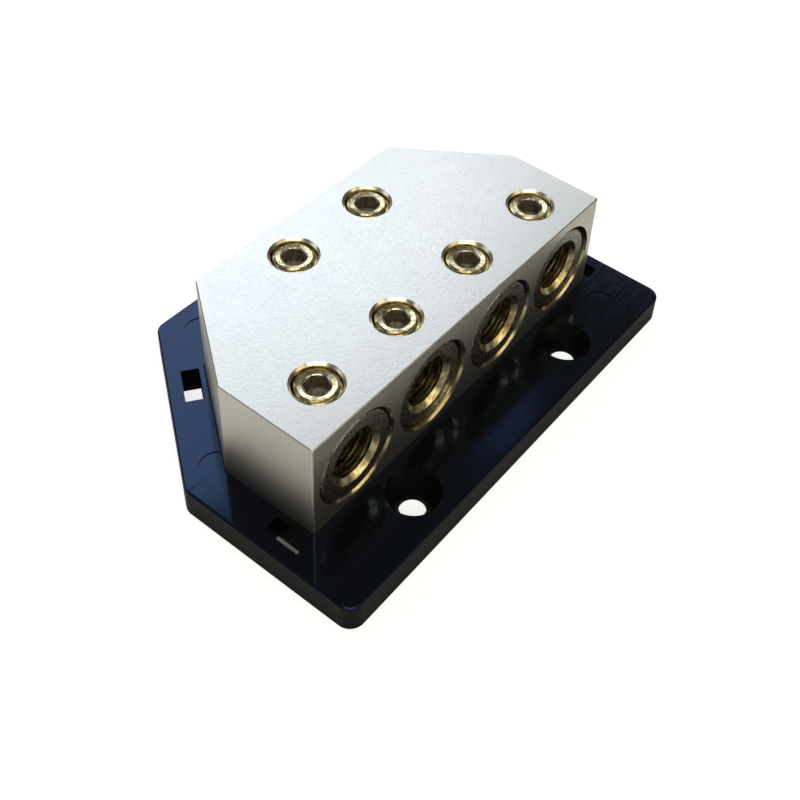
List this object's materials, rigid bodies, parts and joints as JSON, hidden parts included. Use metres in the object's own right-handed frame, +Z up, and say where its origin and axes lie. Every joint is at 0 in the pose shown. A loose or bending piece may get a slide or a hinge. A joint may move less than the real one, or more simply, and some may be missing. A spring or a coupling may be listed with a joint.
{
  "type": "power distribution block",
  "caption": "Plated metal terminal block with screw-clamped wire bores on two faces, on a glossy black moulded base with screw holes and slots for a cover.",
  "frame": {"origin": "middle of the base's footprint, on the surface that it stands on", "axes": "+X along the front face with its row of bores, +Y from front to rear, +Z up"},
  "size_m": [0.0684, 0.0494, 0.0194],
  "materials": {
    "blasted_nickel": "bead-blasted and nickel plated, satin",
    "polished_nickel": "nickel plated steel, polished",
    "turned_nickel": "turned, nickel plated, dull",
    "moulded_abs": "glossy black moulding",
    "zinc_steel": "zinc plated"
  },
  "bodies": {
    "block_and_base": {"base_plate": "moulded_abs", "terminal_block": "blasted_nickel", "reducer_sleeve_front_1": "turned_nickel", "reducer_sleeve_front_2": "turned_nickel", "reducer_sleeve_front_3": "turned_nickel", "reducer_sleeve_front_4": "turned_nickel", "reducer_sleeve_rear_1": "turned_nickel", "reducer_sleeve_rear_2": "turned_nickel", "fixing_screw_left": "zinc_steel", "fixing_screw_right": "zinc_steel"},
    "set_screw_front_1": {"set_screw_front_1": "polished_nickel"},
    "set_screw_front_2": {"set_screw_front_2": "polished_nickel"},
    "set_screw_front_3": {"set_screw_front_3": "polished_nickel"},
    "set_screw_front_4": {"set_screw_front_4": "polished_nickel"},
    "set_screw_rear_1": {"set_screw_rear_1": "polished_nickel"},
    "set_screw_rear_2": {"set_screw_rear_2": "polished_nickel"}
  },
  "joints": [
    {"name": "set_screw_front_1_travel", "type": "slide", "parent": "block_and_base", "child": "set_screw_front_1", "axis": [0, 0, 1], "range_m": [-0.001, 0.0028]},
    {"name": "set_screw_front_2_travel", "type": "slide", "parent": "block_and_base", "child": "set_screw_front_2", "axis": [0, 0, 1], "range_m": [-0.001, 0.0028]},
    {"name": "set_screw_front_3_travel", "type": "slide", "parent": "block_and_base", "child": "set_screw_front_3", "axis": [0, 0, 1], "range_m": [-0.001, 0.0028]},
    {"name": "set_screw_front_4_travel", "type": "slide", "parent": "block_and_base", "child": "set_screw_front_4", "axis": [0, 0, 1], "range_m": [-0.001, 0.0028]},
    {"name": "set_screw_rear_1_travel", "type": "slide", "parent": "block_and_base", "child": "set_screw_rear_1", "axis": [0, 0, 1], "range_m": [-0.001, 0.0028]},
    {"name": "set_screw_rear_2_travel", "type": "slide", "parent": "block_and_base", "child": "set_screw_rear_2", "axis": [0, 0, 1], "range_m": [-0.001, 0.0028]}
  ]
}
